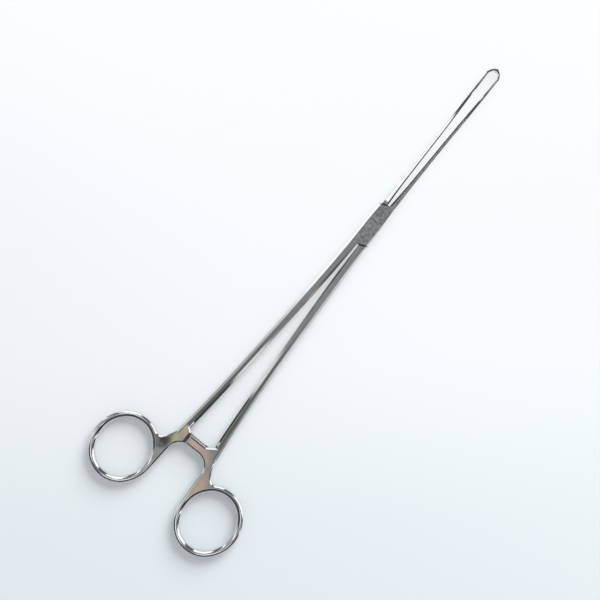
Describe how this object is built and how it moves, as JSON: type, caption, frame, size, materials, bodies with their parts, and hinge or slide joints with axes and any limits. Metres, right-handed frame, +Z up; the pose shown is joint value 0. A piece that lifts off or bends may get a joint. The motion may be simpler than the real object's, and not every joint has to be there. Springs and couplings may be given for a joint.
{
  "type": "box-lock tissue grasping forceps",
  "caption": "Long slim ring-handled tissue forceps with a box lock, a ratchet between the shanks and hooked jaw tips with interlocking teeth, shown closed.",
  "frame": {"origin": "on the joint pin's axis, in the bottom flat face of the box lock, which rests on the table", "axes": "+Y along the instrument from the finger rings to the toothed tips, +X across it towards the ring of the through half, +Z up from the table along the joint pin"},
  "size_m": [0.0798, 0.2518, 0.005],
  "materials": {
    "polished_steel": "polished stainless steel",
    "satin_steel": "satin ground stainless steel, flush with the box"
  },
  "bodies": {
    "box_side": {"box_half": "polished_steel", "joint_pin": "satin_steel"},
    "through_side": {"through_half": "polished_steel"}
  },
  "joints": [
    {"name": "box_lock_pivot", "type": "hinge", "parent": "box_side", "child": "through_side", "pos_m": [0, 0, 0.0025], "axis": [0, 0, 1], "range_deg": [0, 40]}
  ]
}
